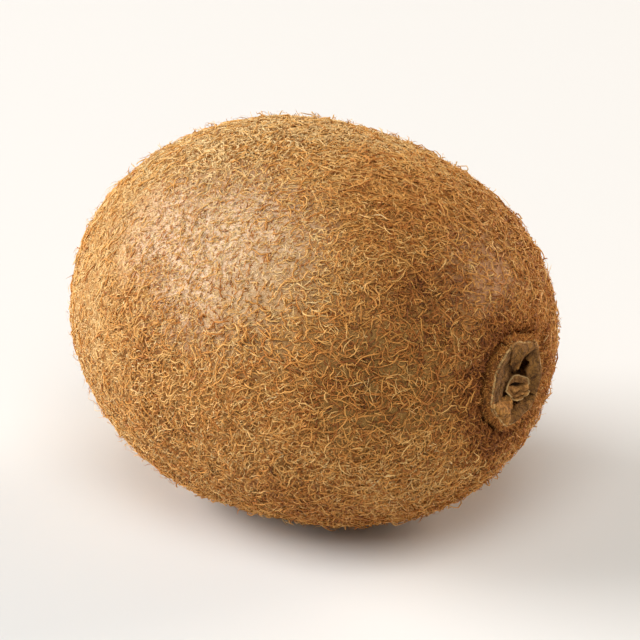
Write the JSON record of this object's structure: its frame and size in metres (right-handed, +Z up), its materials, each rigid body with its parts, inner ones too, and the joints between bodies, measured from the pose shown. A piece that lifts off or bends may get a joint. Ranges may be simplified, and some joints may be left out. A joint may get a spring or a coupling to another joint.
{
  "type": "kiwi fruit",
  "caption": "Whole oval kiwi fruit lying on its side, with a dried calyx and stem stub at one end and withered styles at the other.",
  "frame": {"origin": "middle of the bounding box's underside, on the surface that the fruit lies on", "axes": "+X along the fruit towards the stem end, +Z up"},
  "size_m": [0.0694, 0.0544, 0.0504],
  "materials": {
    "skin": "hairy, dull",
    "dried_sepal": "dry, papery",
    "broken_stem": "dry, broken fibres",
    "withered_style": "dry"
  },
  "bodies": {
    "root": {"fruit": "skin", "calyx": "dried_sepal", "stem_stub": "broken_stem", "style_tuft": "withered_style"}
  },
  "joints": []
}
